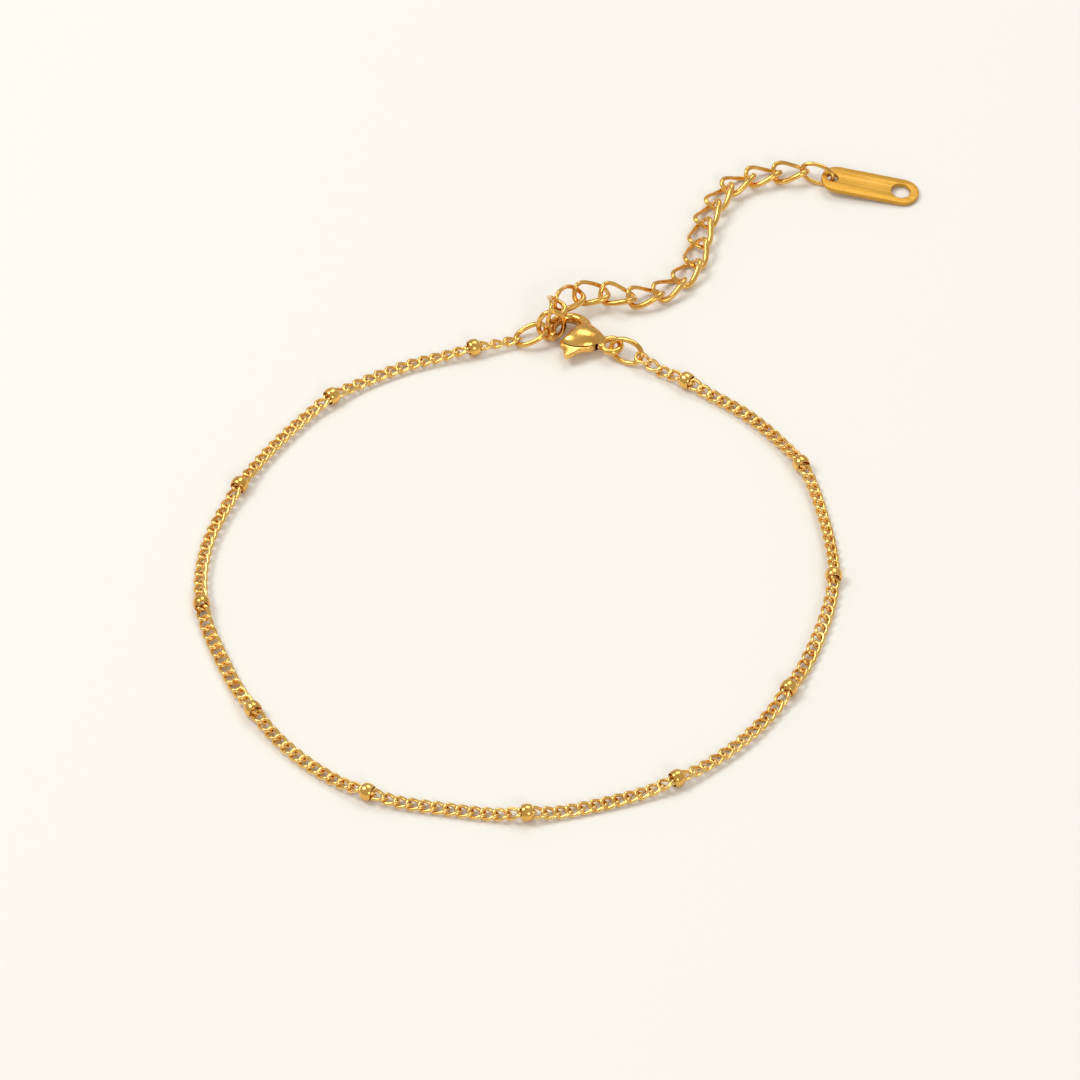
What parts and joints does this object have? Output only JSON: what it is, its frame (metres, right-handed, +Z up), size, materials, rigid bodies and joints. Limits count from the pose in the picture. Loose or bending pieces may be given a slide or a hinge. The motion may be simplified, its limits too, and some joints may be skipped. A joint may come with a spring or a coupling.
{
  "type": "anklet",
  "caption": "Fine curb-chain anklet with small round beads along it, closed by a lobster clasp, with an extender chain that ends in a plain oval tag; it lies closed on a flat surface.",
  "frame": {"origin": "middle of the whole anklet on the surface that it lies on, under the middle of its box", "axes": "+Z up from the surface, +Y from the loop towards the clasp and the extender, +X towards the side of the loop on which the tag lies"},
  "size_m": [0.0818, 0.0988, 0.0053],
  "materials": {
    "clasp_gold": "polished gold-coloured plating, lightly brushed on the dome",
    "ring_gold": "polished gold-coloured plating",
    "chain_gold": "polished gold-coloured plating",
    "bead_gold": "polished gold-coloured plating",
    "extender_gold": "polished gold-coloured plating",
    "tag_gold": "satin gold-coloured plating with a fine brushed grain"
  },
  "bodies": {
    "anklet": {"clasp_body": "clasp_gold", "right_connector_ring": "ring_gold", "clasp_ring": "ring_gold", "left_connector_ring": "ring_gold", "tag_ring": "ring_gold", "fine_chain": "chain_gold", "bead_01": "bead_gold", "bead_02": "bead_gold", "bead_03": "bead_gold", "bead_04": "bead_gold", "bead_05": "bead_gold", "bead_06": "bead_gold", "bead_07": "bead_gold", "bead_08": "bead_gold", "bead_09": "bead_gold", "bead_10": "bead_gold", "bead_11": "bead_gold", "bead_12": "bead_gold", "extender_link_01": "extender_gold", "extender_link_02": "extender_gold", "extender_link_03": "extender_gold", "extender_link_04": "extender_gold", "extender_link_05": "extender_gold", "extender_link_06": "extender_gold", "extender_link_07": "extender_gold", "extender_link_08": "extender_gold", "extender_link_09": "extender_gold", "extender_link_10": "extender_gold", "extender_link_11": "extender_gold", "extender_link_12": "extender_gold", "extender_link_13": "extender_gold", "extender_link_14": "extender_gold", "end_tag": "tag_gold"},
    "lever": {"clasp_lever": "clasp_gold"}
  },
  "joints": [
    {"name": "lever_pivot", "type": "hinge", "parent": "anklet", "child": "lever", "pos_m": [0.00298, 0.02056, 0.00132], "axis": [0, 0, 1], "range_deg": [-18, 0], "stiffness_Nm_per_rad": 0.002}
  ]
}
